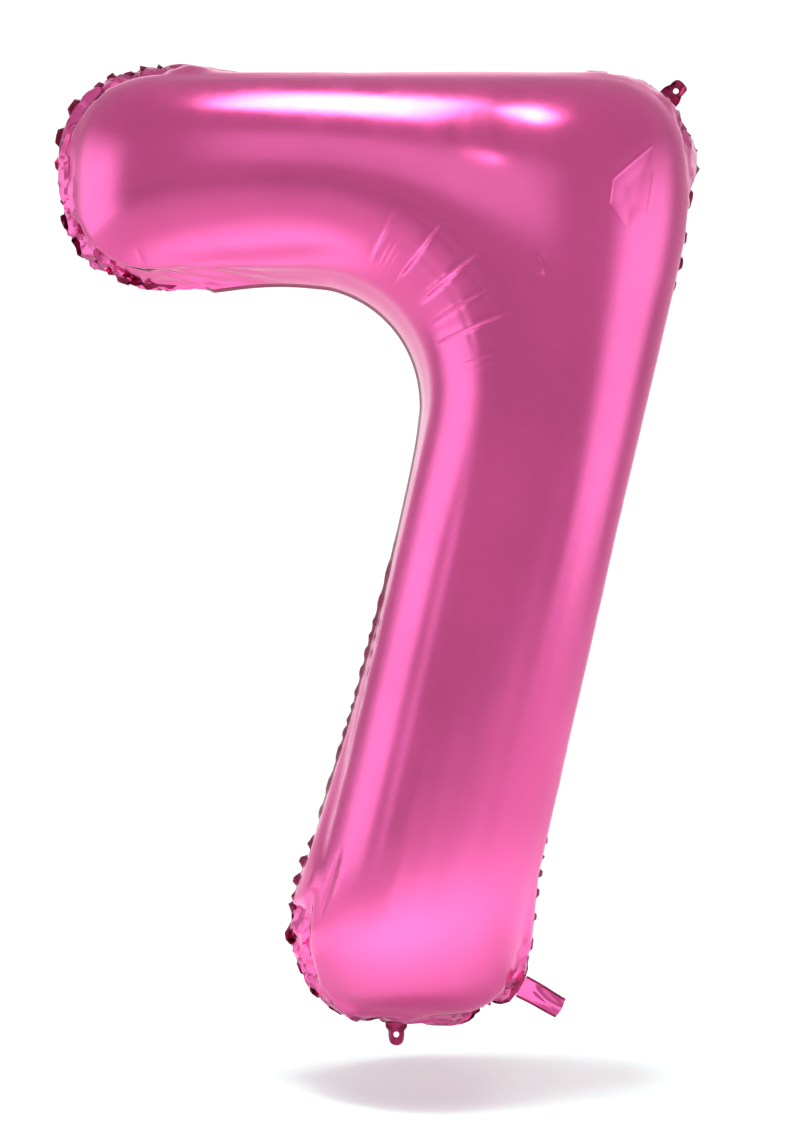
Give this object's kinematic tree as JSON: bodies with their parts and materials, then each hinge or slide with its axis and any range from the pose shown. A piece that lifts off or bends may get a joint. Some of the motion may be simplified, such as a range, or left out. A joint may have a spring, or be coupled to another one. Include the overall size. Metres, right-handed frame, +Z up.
{
  "type": "foil number balloon",
  "caption": "Inflated foil balloon in the shape of a seven, with hanging tabs, a filling tail and a self-sealing valve.",
  "frame": {"origin": "centre of the eyelet in the corner tab, in the plane of the seam", "axes": "+X to the right of a viewer who reads the seven, +Z up, -Y towards the viewer; the seam lies in the plane Y = 0"},
  "size_m": [0.576, 0.247, 0.8842],
  "materials": {
    "foil": "metallised pink film, glossy",
    "valve_film": "thin clear plastic film, slightly milky"
  },
  "bodies": {
    "balloon": {"front_panel": "foil", "rear_panel": "foil"},
    "corner_tab": {"corner_tab_front": "foil", "corner_tab_rear": "foil"},
    "bottom_tab": {"bottom_tab_front": "foil", "bottom_tab_rear": "foil"},
    "tail": {"tail_front": "foil", "tail_rear": "foil"},
    "valve_front": {"valve_front_film": "valve_film"},
    "valve_rear": {"valve_rear_film": "valve_film"}
  },
  "joints": [
    {"name": "corner_tab_fold", "type": "hinge", "parent": "balloon", "child": "corner_tab", "pos_m": [-0.00665, 0, -0.00665], "axis": [0.7071, 0, -0.7071], "range_deg": [-90, 90], "stiffness_Nm_per_rad": 0.0005},
    {"name": "bottom_tab_fold", "type": "hinge", "parent": "balloon", "child": "bottom_tab", "pos_m": [-0.253, 0, -0.84419], "axis": [-1, 0, 0], "range_deg": [-90, 90], "stiffness_Nm_per_rad": 0.0005},
    {"name": "tail_fold", "type": "hinge", "parent": "balloon", "child": "tail", "pos_m": [-0.13427, 0, -0.81291], "axis": [-0.4848, 0, -0.8746], "range_deg": [-90, 90], "stiffness_Nm_per_rad": 0.0005},
    {"name": "valve_front_open", "type": "hinge", "parent": "balloon", "child": "valve_front", "pos_m": [-0.15106, 0, -0.8036], "axis": [0.4848, 0, 0.8746], "range_deg": [0, 4], "stiffness_Nm_per_rad": 0.0005},
    {"name": "valve_rear_open", "type": "hinge", "parent": "balloon", "child": "valve_rear", "pos_m": [-0.15106, 0, -0.8036], "axis": [0.4848, 0, 0.8746], "range_deg": [-4, 0], "stiffness_Nm_per_rad": 0.0005}
  ],
  "couplings": [
    {"joint": "valve_rear_open", "follows": "valve_front_open", "ratio": -1}
  ]
}
